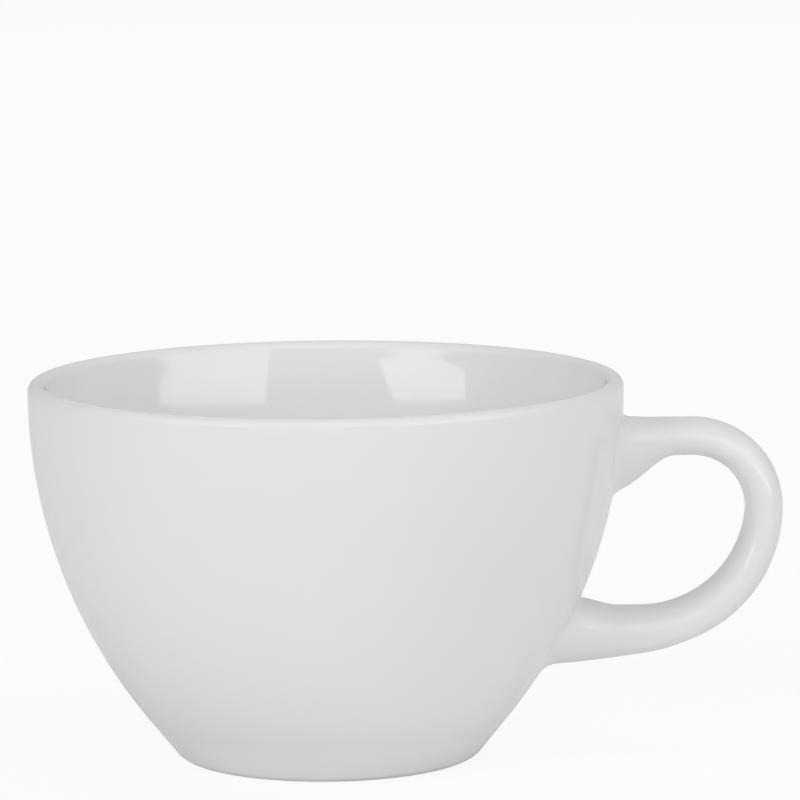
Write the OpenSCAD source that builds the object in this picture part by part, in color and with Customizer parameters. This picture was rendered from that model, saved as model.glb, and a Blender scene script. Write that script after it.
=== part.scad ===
// Glazed tea cup: a formed bowl, a cast handle stuck on with slip, and the fired glaze over them.
// Millimetres, +Z up. The origin is on the bowl's axis, on the plane that the foot stands on.
// The handle points along +X.

/* [Bowl] */
// Height from the table to the crown of the lip
cup_h = 61; // [52:0.5:72]
// Outside diameter at the lip
rim_d = 95; // [84:0.5:112]
// Thickness of the lip, which is rounded right over
lip_t = 2.8; // [2.2:0.1:4]
// Straight height between the rounded lip and the belly
lip_band_h = 0.6; // [0.2:0.1:6]
// Diameter at which the flank would meet the table if its edge were sharp
foot_d = 47.4; // [40:0.2:56]
// Length of the straight flank between the belly and the foot
flank_len = 8.7; // [6:0.1:14]
// Thickness of the wall at the flank
flank_t = 3.8; // [3.2:0.1:6]
// Lean of the inside wall under the lip, from upright, which thickens the wall downwards
inside_lean = 5; // [0:0.5:8]
// Radius of the foot's outer edge
foot_edge_r = 3.3; // [1.5:0.1:4.5]

/* [Base] */
// Thickness of the floor
floor_t = 4.4; // [3.2:0.1:7]
// Radius between the floor and the inside wall
floor_corner_r = 12; // [5:0.5:14]
// Depth of the recess in the underside
recess_h = 2.2; // [1.4:0.1:3.5]
// Width of the ring that the cup stands on
foot_ring_w = 3.5; // [2:0.1:6]
// Radius in the corner of the recess
recess_corner_r = 1.2; // [0.6:0.1:1.4]

/* [Handle] */
// Drop from the crown of the lip to the middle of the upper strap
handle_drop = 10; // [8:0.1:16]
// Height of the middle of the lower strap above the table
handle_low_z = 19.7; // [16:0.1:26]
// Reach of the handle past the lip
handle_reach = 25.5; // [21:0.5:34]
// Radius of the upper bend, on the middle of the strap
upper_bend_r = 11.5; // [8:0.5:14]
// Thickness of the strap round the upper bend
strap_t = 6.1; // [4.5:0.1:8]
// Thickness that the strap gains on its inner side round the lower bend
heel_gain = 0.9; // [0:0.1:3]
// Width of the strap
strap_w = 9.5; // [7:0.1:13]
// Extra width of the strap at its roots
root_spread = 3; // [0:0.1:5]
// Depth that the upper root grows downwards
upper_root_drop = 5.6; // [1:0.1:8]
// Height that the lower root grows upwards
lower_root_rise = 1.2; // [0:0.1:4]
// Length of strap over which those two grow
root_len = 8.6; // [6:0.2:12]
// Depth that the lower root grows downwards
lower_root_drop = 2.3; // [0:0.1:4]
// Length of strap over which it grows downwards
lower_drop_len = 21; // [8:0.5:26]
// Radius of the fillet between a root and the bowl, above and below the strap
root_fillet_r = 1.4; // [0.6:0.1:2]
// Radius of the wider fillet at the two sides of a root
side_fillet_r = 5.5; // [2:0.5:7]

/* [Joints and glaze] */
// Thickness of the slip between the handle and the bowl
slip_t = 0.5; // [0.35:0.05:1]
// Thickness of the fired glaze
glaze_t = 0.3; // [0.15:0.05:0.5]
// Share of the foot's rounded edge that stays bare of glaze, from the table up
bare_share = 0.45; // [0.2:0.05:0.8]

/* [Hidden] */

$fn = 144;
// How far a cutting shape runs past what it cuts
overrun = 1;
// Steps round the arcs of the bowl's section
belly_steps = 18;
edge_steps = 8;
lip_steps = 8;
// Sides of the handle's section, and steps along its straps and bends
ring_sides = 24;
strap_steps = 9;
upper_bend_steps = 9;
lower_bend_steps = 12;
// Angles round the side fillet at which the handle has a ring
fillet_angles = [0, 15, 30, 45, 60, 75];

bisque = [0.91, 0.88, 0.82];
slip_clay = [0.85, 0.82, 0.75];
glaze_white = [0.97, 0.97, 0.98];

// Lip, belly and floor heights
lip_r = lip_t / 2;
lip_z = cup_h - lip_r;
belly_z = lip_z - lip_band_h;
floor_z = recess_h + floor_t;

// A vessel's outline runs down a straight lip, round a belly arc that starts upright, down a straight
// flank, and round an edge to a flat bottom. These two solve the arc that joins lip and flank.
function flank_angle(in, down) = 2 * atan(in / (down + flank_len));
function belly_radius(down, angle) = (down - flank_len * cos(angle)) / sin(angle);

// An edge between a flank and a flat bottom uses up this much of each, for each unit of its radius
function edge_use(angle) = tan(45 - angle / 2);

// Outside of the bowl
rim_r = rim_d / 2;
foot_r = foot_d / 2;
outer_angle = flank_angle(rim_r - foot_r, belly_z);
outer_belly_r = belly_radius(belly_z, outer_angle);
outer_edge = [foot_r - foot_edge_r * edge_use(outer_angle), foot_edge_r];
glaze_stop = -90 + bare_share * (90 - outer_angle);

// Radius of the outside wall at a height
function wall_r(z) =
    let (down = belly_z - z)
    down < 0 ? rim_r
    : down > outer_belly_r * sin(outer_angle) ? foot_r + z * tan(outer_angle)
    : rim_r - outer_belly_r + sqrt(outer_belly_r ^ 2 - down ^ 2);

// Inside of the bowl: the belly starts on the rounded lip, leaning in, so the arc is solved along that lean
lip_centre = [rim_r - lip_r, lip_z];
inner_top = lip_centre + lip_r * [-cos(inside_lean), sin(inside_lean)];
inner_foot_r = wall_r(floor_z) - flank_t / cos(outer_angle);
inner_drop = inner_top - [inner_foot_r, floor_z];
inner_in = inner_drop * [cos(inside_lean), -sin(inside_lean)];
inner_down = inner_drop * [sin(inside_lean), cos(inside_lean)];
inner_turn = flank_angle(inner_in, inner_down);
inner_angle = inside_lean + inner_turn;
inner_belly_r = belly_radius(inner_down, inner_turn);
inner_belly = inner_top - inner_belly_r * [cos(inside_lean), -sin(inside_lean)];
corner_r = min(floor_corner_r, flank_len / edge_use(inner_angle));
inner_edge = [inner_foot_r - corner_r * edge_use(inner_angle), floor_z + corner_r];

// Standing ring and recess
recess_r = outer_edge.x - foot_ring_w;
recess_corner = [recess_r - recess_corner_r, recess_h - recess_corner_r];

function arc(centre, radius, from, to, steps) = [
    for (i = [0 : steps])
        let (a = from + (to - from) * i / steps)
        centre + radius * [cos(a), sin(a)]
];
function reversed(points) = [for (i = [len(points) - 1 : -1 : 0]) points[i]];

// Half outlines of the bowl as [radius, height] points, set into the wall by skin.
// Outside: from the crown of the lip down the wall and round the foot's edge to where the glaze stops
function outside_line(skin) = concat(
    arc(lip_centre, lip_r - skin, 90, 0, lip_steps),
    arc([rim_r - outer_belly_r, belly_z], outer_belly_r - skin, 0, -outer_angle, belly_steps),
    arc(outer_edge, foot_edge_r - skin, -outer_angle, glaze_stop, edge_steps)
);

// Foot: bare clay from there to the table, over the standing ring and up its inner side
function foot_line() = concat(
    arc(outer_edge, foot_edge_r, glaze_stop, -90, edge_steps),
    [[recess_r, 0], [recess_r, recess_corner.y]]
);

// Underside: from the ring's inner side round the recess's corner to the axis
function underside_line(skin) = concat(
    arc(recess_corner, recess_corner_r + skin, 0, 90, edge_steps),
    [[0, recess_h + skin]]
);

// Inside: from the crown of the lip down the wall and over the floor to the axis
function inside_line(skin) = concat(
    arc(lip_centre, lip_r - skin, 90, 180 - inside_lean, lip_steps),
    arc(inner_belly, inner_belly_r + skin, -inside_lean, -inner_angle, belly_steps),
    arc(inner_edge, corner_r + skin, -inner_angle, -90, edge_steps),
    [[0, floor_z - skin]]
);

// Ring between one outline at the surface and the same outline one skin deeper
module skin_between(surface, deeper) {
    rotate_extrude()
        polygon(concat(surface, reversed(deeper)));
}

// The bowl's outside as a filled block, with its surface moved outwards by grow
module bowl_block(grow) {
    rotate_extrude()
        polygon(concat(
            [[0, lip_z], [rim_r + grow, lip_z]],
            arc([rim_r - outer_belly_r, belly_z], outer_belly_r + grow, 0, -outer_angle, belly_steps),
            arc(outer_edge, foot_edge_r + grow, -outer_angle, -90, edge_steps),
            [[0, -grow]]
        ));
}

// Handle line: a level strap, a quarter bend, a wider quarter bend and a level strap back
upper_strap_z = cup_h - handle_drop;
lower_bend_r = upper_strap_z - handle_low_z - upper_bend_r;
bend_z = upper_strap_z - upper_bend_r;
reach_x = rim_r + handle_reach - strap_t / 2;
upper_bend_x = reach_x - upper_bend_r;
lower_bend_x = reach_x - lower_bend_r;
upper_run = upper_bend_x - wall_r(upper_strap_z);
lower_run = lower_bend_x - wall_r(handle_low_z);
// The side fillet runs out before the middle of the shorter strap
side_r = min(side_fillet_r, upper_run / 2, lower_run / 2);
quarter_turn = PI / 2;
line_len = upper_run + lower_run + quarter_turn * (upper_bend_r + lower_bend_r);

function smooth(share) =
    let (s = max(0, min(1, share)))
    s * s * (3 - 2 * s);

// Share of a root's growth left at a distance from the bowl, and the growth of a fillet there
function root_share(far, length) = 1 - smooth(far / length);
function root_fillet(far, radius) =
    let (left = radius - max(0, min(radius, far)))
    radius - sqrt(radius ^ 2 - left ^ 2);

// Half sizes of the handle at a distance along its line: [outwards, inwards, sideways].
// The heel is the share of the lower bend's extra thickness.
function half_sizes(along, heel) =
    let (
        left = line_len - along,
        upper = root_share(along, root_len),
        lower = root_share(left, root_len),
        fillet = root_fillet(min(along, left), root_fillet_r),
        side_fillet = root_fillet(min(along, left), side_r)
    )
    [
        strap_t / 2 + lower_root_drop * root_share(left, lower_drop_len) + fillet,
        strap_t / 2 + heel_gain * heel + upper_root_drop * upper + lower_root_rise * lower + fillet,
        strap_w / 2 + root_spread / 2 * (upper + lower) + side_fillet,
    ];

// One section of the handle as [sideways, outwards] points: an oval with its own depth on each side
function section(halves, skin) = [
    for (i = [0 : ring_sides - 1])
        let (a = 360 * i / ring_sides)
        [(halves.z - skin) * cos(a), ((sin(a) > 0 ? halves.x : halves.y) - skin) * sin(a)]
];

// Ring of a strap, a gap away from the wall. It is upright at the bend and follows the wall at the root.
function strap_ring(strap_z, up, bend_x, run, gap, halves, skin) = [
    for (p = section(halves, skin))
        let (
            z = strap_z + up * p.y,
            wall_x = sqrt(wall_r(z) ^ 2 - p.x ^ 2)
        )
        [wall_x + gap * (bend_x - wall_x) / run, p.x, z]
];

// Ring of a bend, square to the handle's line
function bend_ring(bend_x, radius, turn, halves, skin) = [
    for (p = section(halves, skin))
        [bend_x + (radius + p.y) * cos(turn), p.x, bend_z + (radius + p.y) * sin(turn)]
];

// Gaps between the wall and a strap's rings, from inside the bowl out to the bend
function strap_gaps(run, sunk) = concat(
    [-sunk],
    [for (i = [len(fillet_angles) - 1 : -1 : 0]) side_r * (1 - sin(fillet_angles[i]))],
    [for (i = [1 : strap_steps - 1]) side_r + (run - side_r) * i / strap_steps]
);

function upper_strap_rings(skin, sunk) = [
    for (gap = strap_gaps(upper_run, sunk))
        strap_ring(upper_strap_z, 1, upper_bend_x, upper_run, gap, half_sizes(gap, 0), skin)
];

function upper_bend_rings(skin) = [
    for (i = [0 : upper_bend_steps])
        let (share = i / upper_bend_steps, along = upper_run + share * quarter_turn * upper_bend_r)
        bend_ring(upper_bend_x, upper_bend_r, 90 - 90 * share, half_sizes(along, 0), skin)
];

function lower_bend_rings(skin) = [
    for (i = [1 : lower_bend_steps])
        let (
            share = i / lower_bend_steps,
            turn = -90 * share,
            along = upper_run + quarter_turn * (upper_bend_r + share * lower_bend_r)
        )
        bend_ring(lower_bend_x, lower_bend_r, turn, half_sizes(along, -sin(turn)), skin)
];

function lower_strap_rings(skin, sunk) =
    let (gaps = strap_gaps(lower_run, sunk))
    [
        for (i = [len(gaps) - 1 : -1 : 0])
            let (halves = half_sizes(line_len - gaps[i], 1))
            strap_ring(handle_low_z, -1, lower_bend_x, lower_run, gaps[i], halves, skin)
    ];

// Solid through a row of rings that have the same number of points
module loft(rings) {
    last = len(rings) - 1;
    points = [for (ring = rings) each ring];
    sides = [
        for (i = [0 : last - 1], j = [0 : ring_sides - 1])
            let (
                a = i * ring_sides + j,
                b = i * ring_sides + (j + 1) % ring_sides
            )
            each [[a, b + ring_sides, b], [a, a + ring_sides, b + ring_sides]]
    ];
    start = [for (j = [1 : ring_sides - 2]) [0, j, j + 1]];
    first = last * ring_sides;
    end = [for (j = [1 : ring_sides - 2]) [first, first + j + 1, first + j]];
    polyhedron(points, concat(sides, start, end));
}

// The whole handle with its surface set in by skin and its ends sunk into the bowl
module handle_form(skin, sunk) {
    loft(concat(
        upper_strap_rings(skin, sunk),
        upper_bend_rings(skin),
        lower_bend_rings(skin),
        lower_strap_rings(skin, sunk)
    ));
}

// Thin layer of slip between the bowl's bare wall and the end of the handle
module slip_layer() {
    difference() {
        bowl_block(slip_t - glaze_t);
        bowl_block(-glaze_t);
    }
}

// The clay body: glaze deep under the glaze, bare at the foot
module bowl() {
    inside = inside_line(glaze_t);
    color(bisque)
        rotate_extrude()
            polygon(concat(
                outside_line(glaze_t),
                foot_line(),
                underside_line(glaze_t),
                reversed([for (i = [1 : len(inside) - 1]) inside[i]])
            ));
}

module handle() {
    color(bisque)
        difference() {
            handle_form(glaze_t, overrun);
            bowl_block(slip_t - glaze_t);
        }
}

module upper_slip_joint() {
    color(slip_clay)
        intersection() {
            slip_layer();
            loft(upper_strap_rings(glaze_t, overrun));
        }
}

module lower_slip_joint() {
    color(slip_clay)
        intersection() {
            slip_layer();
            loft(lower_strap_rings(glaze_t, overrun));
        }
}

module inside_glaze() {
    color(glaze_white)
        skin_between(inside_line(0), inside_line(glaze_t));
}

// The outside coat is open where the two roots of the handle stand on the clay
module outside_glaze() {
    color(glaze_white)
        difference() {
            skin_between(outside_line(0), outside_line(glaze_t));
            handle_form(glaze_t, overrun);
        }
}

module handle_glaze() {
    color(glaze_white)
        difference() {
            handle_form(0, overrun);
            handle_form(glaze_t, 2 * overrun);
            bowl_block(0);
        }
}

module underside_glaze() {
    color(glaze_white)
        skin_between(underside_line(0), underside_line(glaze_t));
}

bowl();
handle();
upper_slip_joint();
lower_slip_joint();
inside_glaze();
outside_glaze();
handle_glaze();
underside_glaze();
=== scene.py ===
# %% [markdown]
# # A glazed tea cup
# This lesson dresses the solid model of a low white tea cup: a thick clay bowl, a strap handle stuck on
# with slip, and a fired glaze over both. The solid model is loaded as a fixed frame in metres, and every
# piece made here lies where its solid lies.

import math
from collections import namedtuple

import bmesh
import bpy
from mathutils import Matrix, Vector


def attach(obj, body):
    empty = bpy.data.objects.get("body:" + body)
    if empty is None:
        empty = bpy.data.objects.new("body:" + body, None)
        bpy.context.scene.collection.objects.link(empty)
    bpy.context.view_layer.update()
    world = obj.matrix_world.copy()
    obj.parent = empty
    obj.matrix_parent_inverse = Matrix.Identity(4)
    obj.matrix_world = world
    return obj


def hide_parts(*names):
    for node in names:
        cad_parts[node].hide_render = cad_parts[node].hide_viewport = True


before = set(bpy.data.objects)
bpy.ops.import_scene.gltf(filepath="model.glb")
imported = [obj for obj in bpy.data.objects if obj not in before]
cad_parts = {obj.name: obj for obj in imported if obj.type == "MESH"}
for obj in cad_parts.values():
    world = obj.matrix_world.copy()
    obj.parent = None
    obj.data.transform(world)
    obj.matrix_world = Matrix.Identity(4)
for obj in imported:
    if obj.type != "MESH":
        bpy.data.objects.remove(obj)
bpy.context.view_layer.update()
scene = bpy.context.scene
print("solids:", ", ".join(sorted(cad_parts)))

# %% [markdown]
# ## Sizes
# These are the sizes of the bowl in the solid model, turned into metres. A potter would give the same
# ones: how high and wide the cup is, and how thick its lip, its wall and its floor are. The handle's
# follow further down.

# %% Sizes of the bowl
MM = 0.001
CUP_HEIGHT = 61 * MM
RIM_RADIUS = 47.5 * MM
LIP_RADIUS = 1.4 * MM
LIP_BAND = 0.6 * MM
FOOT_RADIUS = 23.7 * MM
FLANK_LENGTH = 8.7 * MM
FLANK_THICKNESS = 3.8 * MM
INSIDE_LEAN = math.radians(5)
FOOT_EDGE_RADIUS = 3.3 * MM
FLOOR_THICKNESS = 4.4 * MM
FLOOR_CORNER_RADIUS = 12 * MM
RECESS_HEIGHT = 2.2 * MM
FOOT_RING_WIDTH = 3.5 * MM
RECESS_CORNER_RADIUS = 1.2 * MM
GLAZE = 0.3 * MM
BARE_SHARE = 0.45
print(f"bowl {CUP_HEIGHT / MM:.0f} mm high and {2 * RIM_RADIUS / MM:.0f} mm across the lip")

# %% [markdown]
# ## The outline of the bowl
# A thrown or pressed bowl is fully described by half of its section. The outside runs from the crown of
# the lip down a short upright band, round a belly arc, along a straight flank and round the foot's edge.
# The inside starts on the same rounded lip but leans inwards, so that the wall grows thicker on its way
# down. The arc between lip and flank follows from its two ends, so it is solved instead of being drawn by
# eye.

# %% Solve the belly arcs
def flank_angle(inwards, down):
    return 2 * math.atan(inwards / (down + FLANK_LENGTH))


def belly_radius(down, angle):
    return (down - FLANK_LENGTH * math.cos(angle)) / math.sin(angle)


def edge_use(angle):
    return math.tan(math.pi / 4 - angle / 2)


LIP_CENTRE = Vector((RIM_RADIUS - LIP_RADIUS, CUP_HEIGHT - LIP_RADIUS))
BELLY_Z = LIP_CENTRE.y - LIP_BAND
OUTER_ANGLE = flank_angle(RIM_RADIUS - FOOT_RADIUS, BELLY_Z)
OUTER_BELLY = belly_radius(BELLY_Z, OUTER_ANGLE)
OUTER_EDGE = Vector((FOOT_RADIUS - FOOT_EDGE_RADIUS * edge_use(OUTER_ANGLE), FOOT_EDGE_RADIUS))
GLAZE_STOP = -math.pi / 2 + BARE_SHARE * (math.pi / 2 - OUTER_ANGLE)


def wall_radius(z):
    """Radius of the outside wall at a height, between the lip and the flank."""
    down = max(0, BELLY_Z - z)
    return RIM_RADIUS - OUTER_BELLY + math.sqrt(OUTER_BELLY ** 2 - down ** 2)


FLOOR_Z = RECESS_HEIGHT + FLOOR_THICKNESS
LEAN = Vector((math.cos(INSIDE_LEAN), -math.sin(INSIDE_LEAN)))
INNER_TOP = LIP_CENTRE - LIP_RADIUS * LEAN
INNER_FOOT = FOOT_RADIUS + FLOOR_Z * math.tan(OUTER_ANGLE) - FLANK_THICKNESS / math.cos(OUTER_ANGLE)
INNER_DROP = INNER_TOP - Vector((INNER_FOOT, FLOOR_Z))
INNER_DOWN = INNER_DROP.dot(Vector((-LEAN.y, LEAN.x)))
INNER_TURN = flank_angle(INNER_DROP.dot(LEAN), INNER_DOWN)
INNER_ANGLE = INSIDE_LEAN + INNER_TURN
INNER_BELLY = belly_radius(INNER_DOWN, INNER_TURN)
INNER_CENTRE = INNER_TOP - INNER_BELLY * LEAN
INNER_EDGE_X = INNER_FOOT - FLOOR_CORNER_RADIUS * edge_use(INNER_ANGLE)
INNER_EDGE = Vector((INNER_EDGE_X, FLOOR_Z + FLOOR_CORNER_RADIUS))
RECESS_RADIUS = OUTER_EDGE.x - FOOT_RING_WIDTH
RECESS_CORNER = Vector((RECESS_RADIUS - RECESS_CORNER_RADIUS, RECESS_HEIGHT - RECESS_CORNER_RADIUS))
print(f"belly arcs: outside {OUTER_BELLY / MM:.1f} mm, inside {INNER_BELLY / MM:.1f} mm")

# %% [markdown]
# The outlines come in pieces, because the glaze covers some stretches and leaves the standing ring bare.
# Each can be set into the clay by a skin, so that one rule gives both faces of the glaze and the clay
# under it.

# %% Outlines as points
LIP_STEPS = 16
WALL_STEPS = 24
FOOT_EDGE_STEPS = 6
FLOOR_CORNER_STEPS = 10
RECESS_STEPS = 8
DISC_STEPS = 8
BARE_EDGE_STEPS = 10
RING_STEPS = 6
FLANK_STEPS = 4
SHORT_STEPS = 2
WIPED_EDGE = 0.2 * MM


def arc(centre, radius, start, end, steps):
    angles = [start + (end - start) * i / steps for i in range(steps + 1)]
    return [centre + radius * Vector((math.cos(a), math.sin(a))) for a in angles]


def straight(start, end, steps):
    return [start.lerp(end, i / steps) for i in range(1, steps)]


def outside_line(skin, fine=1):
    belly = Vector((RIM_RADIUS - OUTER_BELLY, BELLY_Z))
    lip = arc(LIP_CENTRE, LIP_RADIUS - skin, math.pi / 2, 0, LIP_STEPS * fine)
    wall = arc(belly, OUTER_BELLY - skin, 0, -OUTER_ANGLE, WALL_STEPS * fine)
    edge = arc(OUTER_EDGE, FOOT_EDGE_RADIUS - skin, -OUTER_ANGLE, GLAZE_STOP, FOOT_EDGE_STEPS * fine)
    band = straight(lip[-1], wall[0], SHORT_STEPS)
    flank = straight(wall[-1], edge[0], FLANK_STEPS)
    return lip + band + wall + flank + edge


def inside_line(skin, fine=1):
    lip = arc(LIP_CENTRE, LIP_RADIUS - skin, math.pi / 2, math.pi - INSIDE_LEAN, LIP_STEPS * fine)
    wall = arc(INNER_CENTRE, INNER_BELLY + skin, -INSIDE_LEAN, -INNER_ANGLE, WALL_STEPS * fine)
    reach = FLOOR_CORNER_RADIUS + skin
    corner = arc(INNER_EDGE, reach, -INNER_ANGLE, -math.pi / 2, FLOOR_CORNER_STEPS * fine)
    flank = straight(wall[-1], corner[0], SHORT_STEPS)
    axis = Vector((0, FLOOR_Z - skin))
    return lip + wall[1:] + flank + corner + straight(corner[-1], axis, DISC_STEPS) + [axis]


def underside_line(skin, fine=1):
    corner = arc(RECESS_CORNER, RECESS_CORNER_RADIUS + skin, 0, math.pi / 2, RECESS_STEPS * fine)
    axis = Vector((0, RECESS_HEIGHT + skin))
    return corner + straight(corner[-1], axis, DISC_STEPS) + [axis]


def bare_foot_line():
    edge = arc(OUTER_EDGE, FOOT_EDGE_RADIUS, GLAZE_STOP, -math.pi / 2, BARE_EDGE_STEPS)
    wiped = [Vector((RECESS_RADIUS + WIPED_EDGE, 0)), Vector((RECESS_RADIUS, WIPED_EDGE))]
    ring = straight(edge[-1], wiped[0], RING_STEPS)
    return edge + ring + wiped + [Vector((RECESS_RADIUS, RECESS_CORNER.y))]


print("points down the outside:", len(outside_line(0, 2)), "and the inside:", len(inside_line(0, 2)))

# %% [markdown]
# ## Writing node trees
# Node trees hold the shapes and the finishes of this cup. To keep them readable, a socket is wrapped so
# that it can stand in a Python expression: `1 - mask` adds one Math node. Every other kind of node comes
# from one method that sets the node's settings first and then its sockets.

# %% A socket that does sums
class Wire:
    """One socket of a node tree, for use in Python expressions."""

    def __init__(self, socket):
        self.socket = socket
        self.tree = socket.id_data

    def add(self, kind, settings=None, values=None, out=0):
        return Bench(self.tree).add(kind, settings, values, out)

    def math(self, operation, *others):
        values = dict(enumerate((self, *others)))
        return self.add("ShaderNodeMath", {"operation": operation}, values)

    def __add__(self, other):
        return self.math("ADD", other)

    def __mul__(self, other):
        return self.math("MULTIPLY", other)

    def __sub__(self, other):
        return self.math("SUBTRACT", other)

    def __rsub__(self, other):
        return self.add("ShaderNodeMath", {"operation": "SUBTRACT"}, {0: other, 1: self})

    def __truediv__(self, other):
        return self.math("DIVIDE", other)

    def __pow__(self, power):
        return self.math("POWER", power)

    def __gt__(self, other):
        return self.math("GREATER_THAN", other)

    __radd__ = __add__
    __rmul__ = __mul__

    def between(self, low, high):
        """0 at low, 1 at high, and smooth between them."""
        span = {"Value": self, "From Min": low, "From Max": high}
        return self.add("ShaderNodeMapRange", {"interpolation_type": "SMOOTHSTEP"}, span)


class Bench:
    """A node tree under construction."""

    def __init__(self, tree):
        self.tree = tree

    def add(self, kind, settings=None, values=None, out=0):
        node = self.tree.nodes.new(kind)
        for name, value in (settings or {}).items():
            setattr(node, name, value)
        for name, value in (values or {}).items():
            if isinstance(value, Wire):
                self.tree.links.new(value.socket, node.inputs[name])
            else:
                node.inputs[name].default_value = value
        return Wire(node.outputs[out]) if node.outputs else None


print("node helpers ready")

# %% [markdown]
# ## The white glaze
# Tableware glaze is a clear glass over white clay. Close up it isn't one even colour: it is a little
# thinner and warmer where it runs off the lip, a little deeper and cooler where it gathers in the corner
# of the floor, and its surface has the faint ripple of glass that flowed and set. The ripple is what
# bends the reflection of a lamp, so it is a bump of a few microns. A painted picture could show this too,
# but noise on the object's own coordinates has the right scale from every side.

# %% Start a material
def new_finish(name, colour):
    material = bpy.data.materials.new(name)
    material.use_nodes = True
    material.diffuse_color = (*colour, 1)
    bench = Bench(material.node_tree)
    shader = material.node_tree.nodes["Principled BSDF"]
    place = bench.add("ShaderNodeTexCoord", out="Object")
    return material, bench, shader, place


def feed(bench, shader, **wires):
    """Links each wire to the socket of the shader that has its name, with _ for a space."""
    for name, wire in wires.items():
        bench.tree.links.new(wire.socket, shader.inputs[name.replace("_", " ")])


def speckle(bench, place, scale, detail=2, roughness=0.5):
    values = {"Vector": place, "Scale": scale, "Detail": detail, "Roughness": roughness}
    return bench.add("ShaderNodeTexNoise", values=values)


def blend_colours(bench, share, first, second):
    values = {0: share, 6: first, 7: second}
    return bench.add("ShaderNodeMix", {"data_type": "RGBA"}, values, out=2)


def relief(bench, strength, depth, pattern):
    values = {"Strength": strength, "Distance": depth, "Height": pattern}
    return bench.add("ShaderNodeBump", values=values)


print("helpers for finishes ready")

# %% The glaze
GLAZE_WHITE = (0.83, 0.84, 0.835)
CLOUD_DARK = (0.816, 0.828, 0.826, 1)
CLOUD_LIGHT = (0.844, 0.853, 0.846, 1)
THIN_WARM = (0.845, 0.845, 0.828, 1)
GATHERED_COOL = (0.805, 0.82, 0.82, 1)
THIN_HEIGHT = 1.1 * MM
GATHERED_HEIGHT = 5 * MM
RIPPLE_HEIGHT = 0.02 * MM
glaze, bench, shader, place = new_finish("clear_glaze", GLAZE_WHITE)
height = bench.add("ShaderNodeSeparateXYZ", values={0: place}, out="Z")
cloud = speckle(bench, place, 45, 3)
body = blend_colours(bench, cloud, CLOUD_DARK, CLOUD_LIGHT)
thin = height.between(CUP_HEIGHT - THIN_HEIGHT, CUP_HEIGHT) * 0.55
body = blend_colours(bench, thin, body, THIN_WARM)
above_recess = height.between(FLOOR_Z - 2 * MM, FLOOR_Z)
gathered = (1 - height.between(FLOOR_Z, FLOOR_Z + GATHERED_HEIGHT)) * above_recess * 0.6
body = blend_colours(bench, gathered, body, GATHERED_COOL)
gloss = 0.04 + speckle(bench, place, 160, 4) * 0.03 + thin * 0.06
ripple = speckle(bench, place, 130, 1) + speckle(bench, place, 420, 2) * 0.25
bump = relief(bench, 0.35, RIPPLE_HEIGHT, ripple)
feed(bench, shader, Base_Color=body, Roughness=gloss, Normal=bump)
shader.inputs["IOR"].default_value = 1.52
print("glaze nodes:", len(glaze.node_tree.nodes))

# %% [markdown]
# ## The bare clay
# The ring that the cup stands on is wiped clean of glaze before firing, or the cup would melt onto the
# kiln shelf. What is left is dense, matt, slightly cream clay with the fine rings of the wiping sponge
# and grey rub marks from tables and saucers. The rings follow the radius, so they come from a sine of
# the distance to the axis. A Wave texture could draw rings too, but in a sum on wires the blotches can
# nudge them, as an unsteady hand does. The same clay is under the glaze of the handle.

# %% Bare clay
CLAY_CREAM = (0.80, 0.77, 0.71)
CLAY_DARK = (0.76, 0.73, 0.67, 1)
CLAY_LIGHT = (0.83, 0.80, 0.745, 1)
GRIT = (0.66, 0.62, 0.55, 1)
RUB_GREY = (0.52, 0.51, 0.50, 1)
# Radians of the sine for a metre of radius, which is one ring each 0.45 mm
SPONGE_RATE = 14000
GRAIN_HEIGHT = 0.06 * MM
bisque, bench, shader, place = new_finish("bare_clay", CLAY_CREAM)
apart = bench.add("ShaderNodeSeparateXYZ", values={0: place})
sides = apart.socket.node.outputs
radius = (Wire(sides["X"]) ** 2 + Wire(sides["Y"]) ** 2) ** 0.5
grain = speckle(bench, place, 2600, 3, 0.65)
blotch = speckle(bench, place, 140, 3)
clay = blend_colours(bench, blotch, CLAY_DARK, CLAY_LIGHT)
clay = blend_colours(bench, (grain > 0.63) * 0.35, clay, GRIT)
standing = 1 - Wire(sides["Z"]).between(0.05 * MM, 0.3 * MM)
rubbed = standing * speckle(bench, place, 320, 4, 0.7).between(0.5, 0.66)
clay = blend_colours(bench, rubbed * 0.55, clay, RUB_GREY)
sponged = (radius * SPONGE_RATE + blotch * 2).math("SINE") * 0.5 + 0.5
surface = grain * 0.7 + sponged * 0.3
bump = relief(bench, 0.5, GRAIN_HEIGHT, surface)
feed(bench, shader, Base_Color=clay, Roughness=0.86 - rubbed * 0.3 + grain * 0.08, Normal=bump)
print("clay nodes:", len(bisque.node_tree.nodes))

# %% [markdown]
# ## The fired slip
# The handle is stuck on with slip, which is liquid clay. It fires to a thin, rough layer, a little darker
# than the clay. Here it lies hidden under the roots, so a single mottle is enough for its tint, its
# roughness and its bump.

# %% Fired slip
SLIP_CREAM = (0.74, 0.71, 0.65)
SMEAR_DARK = (0.69, 0.66, 0.60, 1)
SMEAR_LIGHT = (0.79, 0.76, 0.70, 1)
SMEAR_HEIGHT = 0.05 * MM
slip, bench, shader, place = new_finish("fired_slip", SLIP_CREAM)
mottle = speckle(bench, place, 900, 4, 0.6)
smear = blend_colours(bench, mottle, SMEAR_DARK, SMEAR_LIGHT)
bump = relief(bench, 0.4, SMEAR_HEIGHT, mottle)
feed(bench, shader, Base_Color=smear, Roughness=0.8 + mottle * 0.15, Normal=bump)
print("slip nodes:", len(slip.node_tree.nodes))

# %% [markdown]
# ## Turning an outline into a round piece
# The bowl's clay and its three round coats of glaze are all turned forms: one outline swept once round
# the axis. Blender's Screw modifier or bmesh spin would do it, but a node tree says the rule itself. A
# flat grid has one row of points for each step round and one column for each point of the outline. Each
# grid point then looks up its outline point by its own index and swings it round the axis. Merging the
# doubles closes the seam and the poles.

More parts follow.
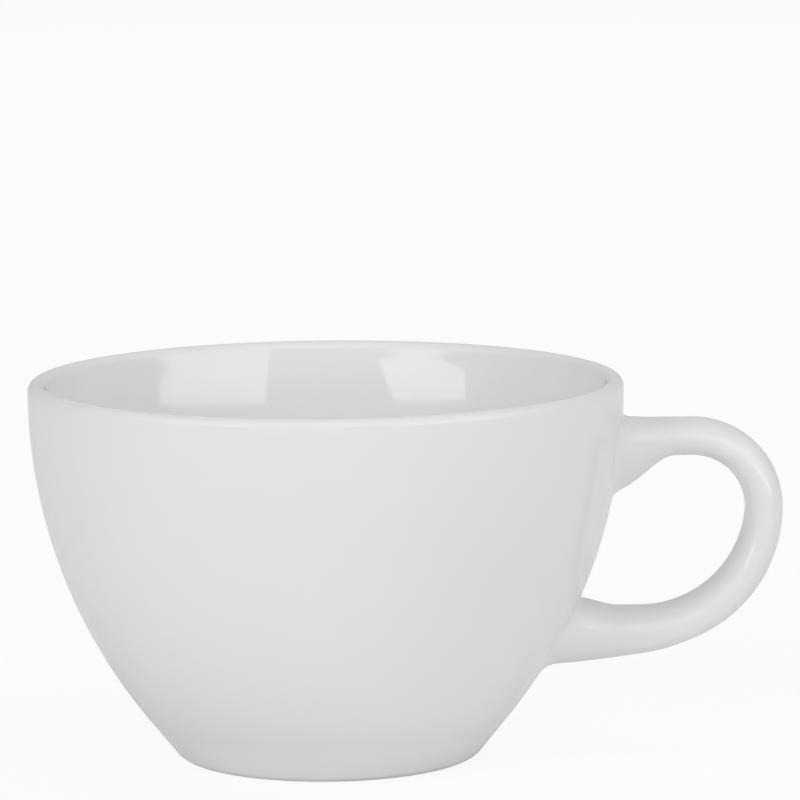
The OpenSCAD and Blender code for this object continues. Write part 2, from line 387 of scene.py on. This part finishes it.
# %% A tree with named inputs
CRISP_ANGLE = math.radians(35)


def new_tree(name, sizes):
    """A geometry tree that takes Geometry, the named sizes and a Material, and gives Geometry."""
    tree = bpy.data.node_groups.new(name, "GeometryNodeTree")
    face = tree.interface
    face.new_socket("Geometry", in_out="INPUT", socket_type="NodeSocketGeometry")
    for size, kind in sizes.items():
        face.new_socket(size, in_out="INPUT", socket_type=kind)
    face.new_socket("Material", in_out="INPUT", socket_type="NodeSocketMaterial")
    face.new_socket("Geometry", in_out="OUTPUT", socket_type="NodeSocketGeometry")
    entry = tree.nodes.new("NodeGroupInput")
    return tree, Bench(tree), {s.name: Wire(s) for s in entry.outputs if s.name}


def close_and_finish(bench, mesh, entry):
    """Welds the grid, keeps its true edges crisp, and hands it out with its material."""
    welded = bench.add("GeometryNodeMergeByDistance", values={"Geometry": mesh, "Distance": 1e-6})
    soft = {"Geometry": welded, "Shade Smooth": True}
    smooth = bench.add("GeometryNodeSetShadeSmooth", {"domain": "FACE"}, soft)
    bend = bench.add("GeometryNodeInputMeshEdgeAngle", out="Unsigned Angle")
    crisp = {"Geometry": smooth, "Selection": bend > CRISP_ANGLE, "Shade Smooth": False}
    edged = bench.add("GeometryNodeSetShadeSmooth", {"domain": "EDGE"}, crisp)
    real = bench.add("GeometryNodeRealizeInstances", values={"Geometry": edged})
    done = bench.add("GeometryNodeSetMaterial", values={"Geometry": real, "Material": entry["Material"]})
    bench.add("NodeGroupOutput", values={"Geometry": done})


print(f"edges past {math.degrees(CRISP_ANGLE):.0f} degrees stay crisp")

# %% The turning tree
turning_sizes = {"Steps round": "NodeSocketInt", "Outline points": "NodeSocketInt"}
turning, bench, entry = new_tree("turned form", turning_sizes)
steps, count = entry["Steps round"], entry["Outline points"]
sheet = bench.add("GeometryNodeMeshGrid", values={"Vertices X": steps + 1, "Vertices Y": count})
index = bench.add("GeometryNodeInputIndex")
here = bench.add("GeometryNodeInputPosition")
swing = (index / count).math("FLOOR") / steps * (2 * math.pi)
lookup = {"Geometry": entry["Geometry"], "Value": here, "Index": index.math("MODULO", count)}
outline = bench.add("GeometryNodeSampleIndex", {"data_type": "FLOAT_VECTOR"}, lookup)
parts = bench.add("ShaderNodeSeparateXYZ", values={0: outline}).socket.node.outputs
out, up = Wire(parts["X"]), Wire(parts["Z"])
swung = {"X": out * swing.math("COSINE"), "Y": out * swing.math("SINE"), "Z": up}
spot = bench.add("ShaderNodeCombineXYZ", values=swung)
turned = bench.add("GeometryNodeSetPosition", values={"Geometry": sheet, "Position": spot})
close_and_finish(bench, turned, entry)
print("turning tree nodes:", len(turning.nodes))

# %% [markdown]
# A modifier with the tree makes the piece, and its result is then kept as a plain mesh, so that the piece
# carries no live modifier. The signed volume tells whether the faces point outwards.

# %% Make a piece from a tree
ROUND_STEPS = 160


def points_object(name, points):
    mesh = bpy.data.meshes.new(name)
    mesh.from_pydata(points, [(i, i + 1) for i in range(len(points) - 1)], [])
    piece = bpy.data.objects.new(name, mesh)
    scene.collection.objects.link(piece)
    return piece


def run_tree(piece, tree, material, sizes):
    modifier = piece.modifiers.new(tree.name, "NODES")
    modifier.node_group = tree
    sockets = {i.name: i.identifier for i in tree.interface.items_tree if i.in_out == "INPUT"}
    for name, value in sizes.items():
        modifier[sockets[name]] = value
    modifier[sockets["Material"]] = material


def keep_as_mesh(piece):
    seen = piece.evaluated_get(bpy.context.evaluated_depsgraph_get())
    mesh = bpy.data.meshes.new_from_object(seen)
    piece.modifiers.clear()
    piece.data = mesh
    mesh.name = piece.name
    check = bmesh.new()
    check.from_mesh(mesh)
    open_edges = sum(not e.is_manifold for e in check.edges)
    volume = check.calc_volume(signed=True) / MM ** 3
    check.free()
    mesh.calc_loop_triangles()
    triangles = len(mesh.loop_triangles)
    print(f"{piece.name}: {triangles} triangles, {volume:.0f} mm3, {open_edges} open edges")


def turn(name, outline, material):
    piece = points_object(name, [(p.x, 0, p.y) for p in outline])
    run_tree(piece, turning, material, {"Steps round": ROUND_STEPS, "Outline points": len(outline)})
    keep_as_mesh(piece)
    return piece


def dress(piece, slot, *nodes):
    """The piece rides on the cup and stands for those solids. The slot is not used."""
    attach(piece, "root")
    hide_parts(*nodes)


print("round pieces get", ROUND_STEPS, "steps round")

# %% [markdown]
# ## The clay bowl
# Only the standing ring of the clay shows, but the whole bowl is turned as one closed solid. The solid
# model has it in flat bands, and a finer outline gives the ring its soft edge.

# %% Turn the bowl
foot_line = underside_line(GLAZE)[::-1] + bare_foot_line()[::-1]
clay_line = foot_line + outside_line(GLAZE)[::-1] + inside_line(GLAZE)[1:]
clay_bowl = turn("clay_bowl", clay_line, bisque)
dress(clay_bowl, "bisque", "bowl")

# %% [markdown]
# ## The glaze coats of the bowl
# Each coat is a thin closed skin: its outer face and, one glaze thickness deeper, the face on the clay.
# The coats meet on the crown of the lip, where both run level, so no seam shows.
# Solidify could thicken one turned face instead, but the outlines give both faces exactly.

# %% Turn the three coats
inner_coat = inside_line(0, 2)[::-1] + inside_line(GLAZE)
glaze_inside = turn("glaze_inside", inner_coat[::-1], glaze)
dress(glaze_inside, "glaze", "inside_glaze")

outer_coat = outside_line(0, 2)[::-1] + outside_line(GLAZE)
glaze_outside = turn("glaze_outside", outer_coat + outer_coat[:1], glaze)
dress(glaze_outside, "glaze", "outside_glaze")

under_coat = underside_line(0)[::-1] + underside_line(GLAZE)
glaze_underside = turn("glaze_underside", under_coat, glaze)
dress(glaze_underside, "glaze", "underside_glaze")

# %% [markdown]
# ## The line of the handle
# The handle is a strap that leaves the bowl level, turns down through a quarter bend, comes back through
# a wider one and meets the bowl again. Its section is an oval with its own depth outwards and inwards. It
# swells at the roots, because that is where it is stuck on, and runs out onto the wall in fillets, small
# ones above and below and wide ones at the sides. These rules are worked out once for each ring of the
# strap and stored on the points of its line.

# %% Sizes of the handle
HANDLE_TOP = CUP_HEIGHT - 10 * MM
HANDLE_LOW = 19.7 * MM
HANDLE_REACH = 25.5 * MM
UPPER_BEND = 11.5 * MM
STRAP_THICKNESS = 6.1 * MM
HEEL_GAIN = 0.9 * MM
STRAP_WIDTH = 9.5 * MM
ROOT_SPREAD = 3 * MM
UPPER_ROOT_DROP = 5.6 * MM
LOWER_ROOT_RISE = 1.2 * MM
ROOT_LENGTH = 8.6 * MM
LOWER_ROOT_DROP = 2.3 * MM
LOWER_DROP_LENGTH = 21 * MM
ROOT_FILLET = 1.4 * MM
SIDE_FILLET = 5.5 * MM
print(f"handle {HANDLE_REACH / MM:.1f} mm off the lip, its strap {STRAP_WIDTH / MM:.1f} mm wide")

# %% Bends and runs
LOWER_BEND = HANDLE_TOP - HANDLE_LOW - UPPER_BEND
BEND_Z = HANDLE_TOP - UPPER_BEND
REACH = RIM_RADIUS + HANDLE_REACH - STRAP_THICKNESS / 2
UPPER_BEND_X = REACH - UPPER_BEND
LOWER_BEND_X = REACH - LOWER_BEND
UPPER_RUN = UPPER_BEND_X - wall_radius(HANDLE_TOP)
LOWER_RUN = LOWER_BEND_X - wall_radius(HANDLE_LOW)
LINE_LENGTH = UPPER_RUN + LOWER_RUN + math.pi / 2 * (UPPER_BEND + LOWER_BEND)
print(f"handle line {LINE_LENGTH / MM:.1f} mm long")


def root_share(far, length):
    s = max(0, min(1, far / length))
    return 1 - s * s * (3 - 2 * s)


def root_fillet(far, radius):
    left = radius - max(0, min(radius, far))
    return radius - math.sqrt(radius ** 2 - left ** 2)


def half_sizes(along, heel):
    left = LINE_LENGTH - along
    upper, lower = root_share(along, ROOT_LENGTH), root_share(left, ROOT_LENGTH)
    fillet = root_fillet(min(along, left), ROOT_FILLET)
    outwards = STRAP_THICKNESS / 2 + LOWER_ROOT_DROP * root_share(left, LOWER_DROP_LENGTH) + fillet
    swell = UPPER_ROOT_DROP * upper + LOWER_ROOT_RISE * lower
    inwards = STRAP_THICKNESS / 2 + HEEL_GAIN * heel + swell + fillet
    flare = ROOT_SPREAD / 2 * (upper + lower) + root_fillet(min(along, left), SIDE_FILLET)
    return outwards, inwards, STRAP_WIDTH / 2 + flare


# %% Rings along the line
FILLET_DEGREES = (0, 1, 3, 5, *range(8, 90, 4))
RUN_RINGS = 12
UPPER_RINGS = 28
LOWER_RINGS = 36
Ring = namedtuple("Ring", "middle out half_out half_in half_side hold root")
rings = []


def strap_gaps(run):
    fillet = [SIDE_FILLET * (1 - math.cos(math.radians(a))) for a in FILLET_DEGREES]
    return fillet + [SIDE_FILLET + (run - SIDE_FILLET) * i / RUN_RINGS for i in range(RUN_RINGS)]


def strap_ring(z, out, run, gap, along, heel):
    root = wall_radius(z)
    middle = (root + gap, 0, z)
    rings.append(Ring(middle, (0, 0, out), *half_sizes(along, heel), hold=1 - gap / run, root=root))


def bend_ring(x, radius, turned, along, heel):
    out = (math.cos(turned), 0, math.sin(turned))
    middle = (x + radius * out[0], 0, BEND_Z + radius * out[2])
    rings.append(Ring(middle, out, *half_sizes(along, heel), hold=0, root=0))


for gap in strap_gaps(UPPER_RUN):
    strap_ring(HANDLE_TOP, 1, UPPER_RUN, gap, gap, 0)
for i in range(UPPER_RINGS + 1):
    along = UPPER_RUN + math.pi / 2 * UPPER_BEND * i / UPPER_RINGS
    bend_ring(UPPER_BEND_X, UPPER_BEND, math.pi / 2 * (1 - i / UPPER_RINGS), along, 0)
for i in range(1, LOWER_RINGS + 1):
    along = UPPER_RUN + math.pi / 2 * (UPPER_BEND + LOWER_BEND * i / LOWER_RINGS)
    turned = math.pi / 2 * i / LOWER_RINGS
    bend_ring(LOWER_BEND_X, LOWER_BEND, -turned, along, math.sin(turned))
for gap in reversed(strap_gaps(LOWER_RUN)):
    strap_ring(HANDLE_LOW, -1, LOWER_RUN, gap, LINE_LENGTH - gap, 1)
print("rings along the handle:", len(rings))

# %% [markdown]
# ## Lofting the handle
# Curve to Mesh would sweep one section along a line, but this section changes all the way and ends on a
# round wall, so a loft places every point by itself. Its tree works like the turning tree: one grid row
# for each ring, and each point looks up its ring by index. Near the roots a ring isn't flat. Each of
# its points slides along the strap by as much as the round wall lies behind or before the middle of the
# root, so that the last ring lies on the glaze of the bowl all round. The wall's radius at a height is
# the belly arc again, written as a sum on wires.

# %% The loft tree
loft_sizes = {
    "Sides": "NodeSocketInt",
    "Rings": "NodeSocketInt",
    "Rim radius": "NodeSocketFloat",
    "Belly radius": "NodeSocketFloat",
    "Belly height": "NodeSocketFloat",
}
lofting, bench, entry = new_tree("strap loft", loft_sizes)
columns = entry["Sides"] + 1
sheet = bench.add("GeometryNodeMeshGrid", values={"Vertices X": entry["Rings"], "Vertices Y": columns})
index = bench.add("GeometryNodeInputIndex")
ring = (index / columns).math("FLOOR")
around = index.math("MODULO", columns) / entry["Sides"] * (-2 * math.pi)


def stored(name, kind="FLOAT"):
    """A value that the line carries, looked up for this point's ring."""
    if name:
        value = bench.add("GeometryNodeInputNamedAttribute", {"data_type": kind}, {"Name": name})
    else:
        value = bench.add("GeometryNodeInputPosition")
    lookup = {"Geometry": entry["Geometry"], "Value": value, "Index": ring}
    return bench.add("GeometryNodeSampleIndex", {"data_type": kind}, lookup)


def xyz(vector):
    return [Wire(s) for s in bench.add("ShaderNodeSeparateXYZ", values={0: vector}).socket.node.outputs]


print("loft sizes:", ", ".join(loft_sizes))

# %% Place the points of the loft
middle_x, _, middle_z = xyz(stored("", "FLOAT_VECTOR"))
out_x, _, out_z = xyz(stored("out", "FLOAT_VECTOR"))
lift = around.math("SINE")
inwards = stored("half_in")
depth = lift * (inwards + (stored("half_out") - inwards) * (lift > 0))
y = around.math("COSINE") * stored("half_side")
z = middle_z + out_z * depth
belly = entry["Belly radius"]
arc_half = (belly ** 2 - (entry["Belly height"] - z) ** 2) ** 0.5
wall = entry["Rim radius"] - belly + arc_half
slide = stored("hold") * ((wall ** 2 - y ** 2) ** 0.5 - stored("root"))
spot = bench.add("ShaderNodeCombineXYZ", values={"X": middle_x + out_x * depth + slide, "Y": y, "Z": z})
lofted = bench.add("GeometryNodeSetPosition", values={"Geometry": sheet, "Position": spot})
close_and_finish(bench, lofted, entry)
print("loft tree nodes:", len(lofting.nodes))

# %% [markdown]
# The line's points get the stored values, the tree lofts an open tube with its faces outwards, and
# Solidify gives the glaze its thickness towards the clay. The rims of that thickness are marked sharp, so
# that they don't bend the shading of the fillets, which run out onto the bowl's glaze without a seam.

# %% Glaze of the handle
STRAP_SIDES = 56
glaze_handle = points_object("glaze_handle", [r.middle for r in rings])
for name in Ring._fields[1:]:
    kind, field = ("FLOAT_VECTOR", "vector") if name == "out" else ("FLOAT", "value")
    layer = glaze_handle.data.attributes.new(name, kind, "POINT")
    for item, values in zip(layer.data, rings):
        setattr(item, field, getattr(values, name))

wall_sizes = {"Rim radius": RIM_RADIUS, "Belly radius": OUTER_BELLY, "Belly height": BELLY_Z}
run_tree(glaze_handle, lofting, glaze, {"Sides": STRAP_SIDES, "Rings": len(rings), **wall_sizes})
skin = glaze_handle.modifiers.new("skin", "SOLIDIFY")
skin.thickness = GLAZE
skin.offset = -1
skin.use_even_offset = True
keep_as_mesh(glaze_handle)
glaze_handle.data.set_sharp_from_angle(angle=CRISP_ANGLE)
dress(glaze_handle, "glaze", "handle_glaze")

# %% [markdown]
# ## Clay that stays as solids
# The clay of the handle and the two layers of slip lie under the glaze. Their solids are right as they
# are, so they stay and only get their finishes.

# %% Finish the hidden solids
for name, finish in (("handle", bisque), ("upper_slip_joint", slip), ("lower_slip_joint", slip)):
    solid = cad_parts[name].data
    solid.materials.clear()
    solid.materials.append(finish)
    print(name, "wears", finish.name)

# %% [markdown]
# ## Floor and world
# The cup stands on a plain white floor under a pale sky. A painted white plane would turn grey in this
# light, and a glowing one would lose the shadow, so the floor is a bit of both. Seen straight on, the
# sky is white, and the floor is nine parts white and one part its own lit surface, which keeps the
# shadow of the cup. In a reflection both get a smaller share of that white, so that the gloss mirrors
# no black. What they shed on the cup itself is lower: the sky glows most in front, less behind, and
# hardly at all straight above.

# %% White floor
def seen_share(bench, straight_on, mirrored):
    """How much of the plain white a ray sees: a share straight on, one in a reflection, or none."""
    rays = bench.add("ShaderNodeLightPath").socket.node.outputs
    in_gloss = Wire(rays["Is Glossy Ray"]) + Wire(rays["Is Transmission Ray"])
    return Wire(rays["Is Camera Ray"]) * straight_on + in_gloss.math("MINIMUM", 1) * mirrored


def stage_sheet(name, points, material):
    """One flat face of the studio, which isn't part of the cup."""
    mesh = bpy.data.meshes.new(name)
    mesh.from_pydata(points, [], [tuple(range(len(points)))])
    mesh.materials.append(material)
    sheet = bpy.data.objects.new(name, mesh)
    scene.collection.objects.link(sheet)
    return sheet


def empty_finish(name):
    material = bpy.data.materials.new(name)
    material.use_nodes = True
    material.node_tree.nodes.clear()
    return material, Bench(material.node_tree)


WHITE = (1, 1, 1, 1)
PAPER_GREY = (0.88, 0.88, 0.88, 1)
FLOOR_SEEN = 0.9
FLOOR_MIRRORED = 0.2
FLOOR_HALF = 4
FLOOR_DROP = 0.05 * MM
paper, bench = empty_finish("paper")
lit = bench.add("ShaderNodeBsdfDiffuse", values={"Color": PAPER_GREY})
white = bench.add("ShaderNodeEmission", values={"Color": WHITE, "Strength": 1.0})
share = seen_share(bench, FLOOR_SEEN, FLOOR_MIRRORED)
mixed = bench.add("ShaderNodeMixShader", values={0: share, 1: lit, 2: white})
bench.add("ShaderNodeOutputMaterial", values={"Surface": mixed})
floor_signs = ((-1, -1), (1, -1), (1, 1), (-1, 1))
floor_corners = [(x * FLOOR_HALF, y * FLOOR_HALF, -FLOOR_DROP) for x, y in floor_signs]
stage_sheet("studio_floor", floor_corners, paper)
print("floor", 2 * FLOOR_HALF, "m wide")

# %% White sky, brightest in front
SKY_LOW = 0.74
SKY_MID = 1.22
SKY_BACK = 0.26
SKY_HIGH = 0.02
SKY_MIRRORED = 0.3
FRONT_FADE = (-0.6, 0.2)
MID_FADE = (0.15, 0.4)
HIGH_FADE = (0.55, 0.8)
scene.world = bpy.data.worlds.new("studio")
scene.world.use_nodes = True
scene.world.node_tree.nodes.clear()
bench = Bench(scene.world.node_tree)
direction = bench.add("ShaderNodeTexCoord", out="Generated")
facing = bench.add("ShaderNodeSeparateXYZ", values={0: direction}).socket.node.outputs
rise = Wire(facing["Z"])
front = 1 - Wire(facing["Y"]).between(*FRONT_FADE)
level = SKY_LOW + rise.between(*MID_FADE) * (SKY_MID - SKY_LOW) - SKY_BACK
level = front * level + SKY_BACK
level = level + rise.between(*HIGH_FADE) * (SKY_HIGH - level)
strength = seen_share(bench, 1, SKY_MIRRORED) + (1 - seen_share(bench, 1, 0)) * level
sky = bench.add("ShaderNodeBackground", values={"Color": WHITE, "Strength": strength})
bench.add("ShaderNodeOutputWorld", values={"Surface": sky})
print("sky at", SKY_LOW, SKY_MID, SKY_BACK, SKY_HIGH)

# %% [markdown]
# ## Two low windows
# The far inside wall of the cup mirrors two bright panes, one from each side of the camera. Following the
# view ray to that wall and off it gives where such a pane must stand: low, in front, 20 to 80 degrees to
# either side. Each pane is a glowing sheet set by the directions of its corners as seen from the cup.
# Their corners are cut, so they have more than four.

# %% Window panes
PANE_DISTANCE = 1.5
PANE_CENTRE = 0.05
LEFT_PANE = 3.35
RIGHT_PANE = 3.05


def pane(name, corners, strength):
    """A glowing sheet. Each corner is its turn to the right of the camera and its height, in degrees."""
    points = []
    for turn_right, rise in corners:
        a, e = math.radians(turn_right), math.radians(rise)
        ahead = Vector((math.sin(a), -math.cos(a), math.tan(e)))
        points.append(Vector((0, 0, PANE_CENTRE)) + PANE_DISTANCE * ahead)
    glow, bench = empty_finish(name)
    light = bench.add("ShaderNodeEmission", values={"Color": WHITE, "Strength": strength})
    bench.add("ShaderNodeOutputMaterial", values={"Surface": light})
    sheet = stage_sheet(name, points, glow)
    sheet.visible_camera = False
    print(f"{name}: {len(corners)} corners, {strength} times white")


left_top = [(-22.5, 4.7), (-30, 11.6), (-47, 10.5), (-63.5, 8.7)]
left_low = [(-62, 4.4), (-50, 3.2), (-38.5, 2.8)]
right_low = [(24, 3.9), (46, 3), (68.5, 1.7), (75.5, 2.4)]
right_top = [(78, 7.2), (51, 10.3), (26.5, 11.9)]
pane("left_pane", left_top + left_low, LEFT_PANE)
pane("right_pane", right_low + right_top, RIGHT_PANE)

# %% [markdown]
# ## Soft panels
# Wide panels further out light the cup evenly from the front left, the right, behind and above. Each is
# given by its turn to the right of the camera, its height in degrees, its distance, its size and how
# bright its face is, where 1 is white. They don't show in reflections, because the photograph's gloss
# holds two windows only.

# %% Panels
CUP_MIDDLE = Vector((0, 0, 0.04))


def panel(name, turn_right, rise, distance, width, height, face):
    lamp = bpy.data.lights.new(name, "AREA")
    lamp.shape = "RECTANGLE"
    lamp.size, lamp.size_y = width, height
    lamp.energy = face * math.pi * width * height
    holder = bpy.data.objects.new(name, lamp)
    a, e = math.radians(turn_right), math.radians(rise)
    away = Vector((math.sin(a) * math.cos(e), -math.cos(a) * math.cos(e), math.sin(e)))
    holder.location = CUP_MIDDLE + distance * away
    holder.rotation_euler = away.to_track_quat("Z", "Y").to_euler()
    holder.visible_camera = False
    holder.visible_glossy = False
    scene.collection.objects.link(holder)
    print(f"{name}: {width} x {height} m, {lamp.energy:.2f} W")


panel("front_left", turn_right=-45, rise=28, distance=1.6, width=1.0, height=0.6, face=2.15)
panel("high_right", turn_right=90, rise=58, distance=1.5, width=0.8, height=0.7, face=2.55)
panel("behind", turn_right=180, rise=30, distance=1.8, width=1.2, height=0.8, face=2.0)
panel("overhead", turn_right=0, rise=88, distance=1.6, width=0.9, height=0.9, face=1.5)

# %% [markdown]
# ## The camera
# The camera was found by fitting the outline of the cup in the photograph: a long lens 0.9 m away,
# looking down by about eight degrees, with half a degree of roll. Its axes are set as the columns of its
# matrix.

# %% Place the camera
CAMERA_SPOT = Vector((0, -0.887176, 0.181392))
VIEW_LINE = (0.01320704, 0.99026501, -0.13856686)
CAMERA_ROLL = math.radians(-0.5)
LENS_MM = 252.588
view = Vector(VIEW_LINE).normalized()
level = view.cross(Vector((0, 0, 1))).normalized()
upright = level.cross(view)
right = math.cos(CAMERA_ROLL) * level + math.sin(CAMERA_ROLL) * upright
above = math.cos(CAMERA_ROLL) * upright - math.sin(CAMERA_ROLL) * level
lens = bpy.data.cameras.new("camera")
lens.sensor_width = 36
lens.lens = LENS_MM
camera = bpy.data.objects.new("camera", lens)
camera.matrix_world = Matrix((
    (right.x, above.x, -view.x, CAMERA_SPOT.x),
    (right.y, above.y, -view.y, CAMERA_SPOT.y),
    (right.z, above.z, -view.z, CAMERA_SPOT.z),
    (0, 0, 0, 1),
))
scene.collection.objects.link(camera)
scene.camera = camera
scene.view_settings.view_transform = "Standard"
print("camera at", tuple(round(c, 3) for c in camera.location))
